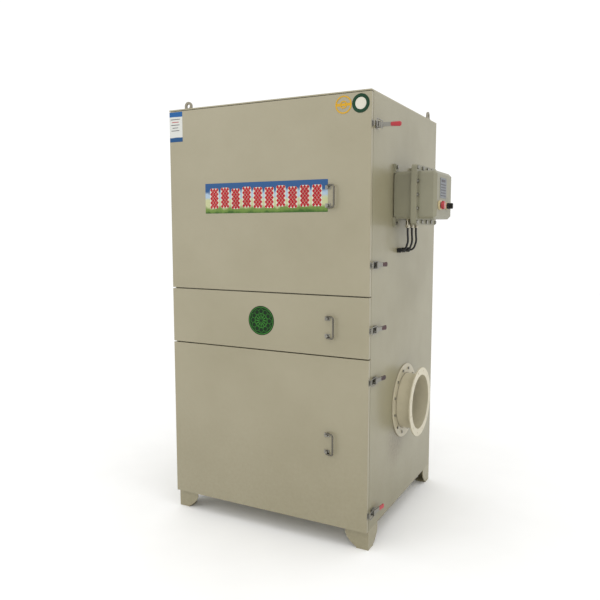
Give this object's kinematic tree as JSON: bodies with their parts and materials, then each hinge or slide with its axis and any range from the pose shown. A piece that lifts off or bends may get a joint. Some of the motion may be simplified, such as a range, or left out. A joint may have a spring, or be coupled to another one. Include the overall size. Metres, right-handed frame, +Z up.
{
  "type": "cabinet dust collector",
  "caption": "Tall sheet-metal cabinet dust collector with three latched front doors, filter bags, a fan, a flanged side duct port and a wall-mounted control box with cables.",
  "frame": {"origin": "on the floor, at the centre of the four anchor holes in the feet", "axes": "+X to the right seen from the doors, +Y to the back, +Z up"},
  "size_m": [1.4285, 1.0347, 2.1389],
  "materials": {
    "body_paint": "satin powder coat",
    "seal_rubber": "matt",
    "zinc_steel": "zinc plated",
    "handle_chrome": "polished",
    "box_paint": "hammered paint on casting",
    "stop_red": "gloss",
    "knob_black": "gloss",
    "collar_cream": "gloss",
    "plate_grey": "satin",
    "cable_black": "matt",
    "gland_nickel": "nickel plated",
    "gland_black": "matt",
    "filter_felt": "needle felt",
    "galvanised": "galvanised",
    "motor_blue": "painted casting",
    "fan_alloy": "cast"
  },
  "bodies": {
    "cabinet": {"air_tank": "body_paint", "back_panel": "body_paint", "bag_cages": "galvanised", "blow_tubes": "galvanised", "box_glands": "gland_nickel", "control_box_body": "box_paint", "control_box_bolts": "zinc_steel", "control_box_lid": "box_paint", "control_cables": "cable_black", "corner_feet": "body_paint", "corner_posts": "body_paint", "door_seals": "seal_rubber", "drawer_deck": "galvanised", "dust_drawer": "galvanised", "fan_casing": "body_paint", "fan_inlet_cone": "galvanised", "fan_motor": "motor_blue", "filter_bags": "filter_felt", "floor_pan": "body_paint", "frame_hinge_leaves": "zinc_steel", "front_rails": "body_paint", "hopper": "galvanised", "inlet_spigot": "body_paint", "latch_bases": "zinc_steel", "left_panel": "body_paint", "lifting_lugs": "body_paint", "motor_stand": "body_paint", "operator_collars": "collar_cream", "outlet_spigot": "body_paint", "pulse_valves": "galvanised", "rating_plate": "plate_grey", "rear_baffle": "galvanised", "relief_panel": "body_paint", "right_panel": "body_paint", "roof_plate": "body_paint", "spigot_bolts": "zinc_steel", "tube_sheet": "galvanised", "wall_glands": "gland_black"},
    "upper_door": {"upper_door": "body_paint", "upper_door_fittings": "zinc_steel"},
    "upper_handle": {"upper_door_handle": "handle_chrome"},
    "middle_door": {"middle_door": "body_paint", "middle_door_fittings": "zinc_steel"},
    "middle_handle": {"middle_door_handle": "handle_chrome"},
    "lower_door": {"lower_door": "body_paint", "lower_door_fittings": "zinc_steel"},
    "lower_handle": {"lower_door_handle": "handle_chrome"},
    "upper_top_lever": {"upper_top_latch_lever": "zinc_steel"},
    "upper_top_bail": {"upper_top_latch_bail": "zinc_steel"},
    "upper_bottom_lever": {"upper_bottom_latch_lever": "zinc_steel"},
    "upper_bottom_bail": {"upper_bottom_latch_bail": "zinc_steel"},
    "middle_lever": {"middle_latch_lever": "zinc_steel"},
    "middle_bail": {"middle_latch_bail": "zinc_steel"},
    "lower_top_lever": {"lower_top_latch_lever": "zinc_steel"},
    "lower_top_bail": {"lower_top_latch_bail": "zinc_steel"},
    "lower_bottom_lever": {"lower_bottom_latch_lever": "zinc_steel"},
    "lower_bottom_bail": {"lower_bottom_latch_bail": "zinc_steel"},
    "stop_button": {"stop_button": "stop_red"},
    "selector_knob": {"selector_knob": "knob_black"},
    "fan_impeller": {"fan_impeller": "fan_alloy"}
  },
  "joints": [
    {"name": "upper_door_hinge", "type": "hinge", "parent": "cabinet", "child": "upper_door", "pos_m": [-0.557, -0.49425, 1.645], "axis": [0, 0, -1], "range_deg": [0, 115]},
    {"name": "upper_handle_fold", "type": "hinge", "parent": "upper_door", "child": "upper_handle", "pos_m": [0.345, -0.5245, 1.646], "axis": [0, 0, -1], "range_deg": [-8, 95]},
    {"name": "middle_door_hinge", "type": "hinge", "parent": "cabinet", "child": "middle_door", "pos_m": [-0.557, -0.49425, 1.054], "axis": [0, 0, -1], "range_deg": [0, 115]},
    {"name": "middle_handle_fold", "type": "hinge", "parent": "middle_door", "child": "middle_handle", "pos_m": [0.345, -0.5245, 1.048], "axis": [0, 0, -1], "range_deg": [-8, 95]},
    {"name": "lower_door_hinge", "type": "hinge", "parent": "cabinet", "child": "lower_door", "pos_m": [-0.557, -0.49425, 0.502], "axis": [0, 0, -1], "range_deg": [0, 115]},
    {"name": "lower_handle_fold", "type": "hinge", "parent": "lower_door", "child": "lower_handle", "pos_m": [0.345, -0.5245, 0.495], "axis": [0, 0, -1], "range_deg": [-8, 95]},
    {"name": "upper_top_latch_swing", "type": "hinge", "parent": "cabinet", "child": "upper_top_lever", "pos_m": [0.562, -0.4525, 1.957], "axis": [0, 0, -1], "range_deg": [-72, 38]},
    {"name": "upper_top_bail_swing", "type": "hinge", "parent": "upper_top_lever", "child": "upper_top_bail", "pos_m": [0.57485, -0.44675, 1.957], "axis": [0, 0, -1], "range_deg": [-40, 75]},
    {"name": "upper_bottom_latch_swing", "type": "hinge", "parent": "cabinet", "child": "upper_bottom_lever", "pos_m": [0.562, -0.4525, 1.338], "axis": [0, 0, -1], "range_deg": [0, 110]},
    {"name": "upper_bottom_bail_swing", "type": "hinge", "parent": "upper_bottom_lever", "child": "upper_bottom_bail", "pos_m": [0.5605, -0.4385, 1.338], "axis": [0, 0, -1], "range_deg": [-112, 2]},
    {"name": "middle_latch_swing", "type": "hinge", "parent": "cabinet", "child": "middle_lever", "pos_m": [0.562, -0.4525, 1.043], "axis": [0, 0, -1], "range_deg": [0, 110]},
    {"name": "middle_bail_swing", "type": "hinge", "parent": "middle_lever", "child": "middle_bail", "pos_m": [0.5605, -0.4385, 1.043], "axis": [0, 0, -1], "range_deg": [-112, 2]},
    {"name": "lower_top_latch_swing", "type": "hinge", "parent": "cabinet", "child": "lower_top_lever", "pos_m": [0.562, -0.4525, 0.805], "axis": [0, 0, -1], "range_deg": [0, 110]},
    {"name": "lower_top_bail_swing", "type": "hinge", "parent": "lower_top_lever", "child": "lower_top_bail", "pos_m": [0.5605, -0.4385, 0.805], "axis": [0, 0, -1], "range_deg": [-112, 2]},
    {"name": "lower_bottom_latch_swing", "type": "hinge", "parent": "cabinet", "child": "lower_bottom_lever", "pos_m": [0.562, -0.4525, 0.174], "axis": [0, 0, -1], "range_deg": [0, 110]},
    {"name": "lower_bottom_bail_swing", "type": "hinge", "parent": "lower_bottom_lever", "child": "lower_bottom_bail", "pos_m": [0.5605, -0.4385, 0.174], "axis": [0, 0, -1], "range_deg": [-112, 2]},
    {"name": "stop_button_press", "type": "slide", "parent": "cabinet", "child": "stop_button", "axis": [-1, 0, 0], "range_m": [0, 0.005], "stiffness_N_per_m": 800},
    {"name": "selector_turn", "type": "hinge", "parent": "cabinet", "child": "selector_knob", "pos_m": [0.758, -0.035, 1.612], "axis": [1, 0, 0], "range_deg": [-45, 45]},
    {"name": "impeller_spin", "type": "hinge", "parent": "cabinet", "child": "fan_impeller", "pos_m": [0.1625, 0, 0.4615], "axis": [0, 1, 0], "continuous": true}
  ],
  "couplings": [
    {"joint": "upper_top_bail_swing", "follows": "upper_top_latch_swing", "ratio": -1},
    {"joint": "upper_bottom_bail_swing", "follows": "upper_bottom_latch_swing", "ratio": -1},
    {"joint": "middle_bail_swing", "follows": "middle_latch_swing", "ratio": -1},
    {"joint": "lower_top_bail_swing", "follows": "lower_top_latch_swing", "ratio": -1},
    {"joint": "lower_bottom_bail_swing", "follows": "lower_bottom_latch_swing", "ratio": -1}
  ]
}
